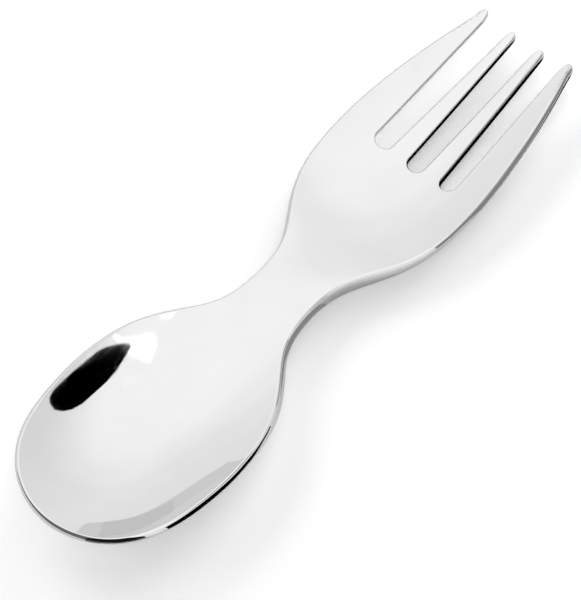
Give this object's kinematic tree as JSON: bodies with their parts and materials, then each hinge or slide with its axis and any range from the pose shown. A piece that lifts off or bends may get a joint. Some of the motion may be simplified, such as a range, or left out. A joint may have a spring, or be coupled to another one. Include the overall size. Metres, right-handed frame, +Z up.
{
  "type": "spork",
  "caption": "Double-ended spork in polished steel: an egg-shaped spoon bowl, a narrow waist to hold it by, and a slotted fork with tapered tines.",
  "frame": {"origin": "on the table that the spork rests on, under the middle of its length and width", "axes": "+X from the nose of the spoon bowl to the tips of the tines, +Y across to the left, +Z up out of the bowl"},
  "size_m": [0.146, 0.0398, 0.0098],
  "materials": {
    "polished_steel": "polished"
  },
  "bodies": {
    "root": {"spork_body": "polished_steel"}
  },
  "joints": []
}
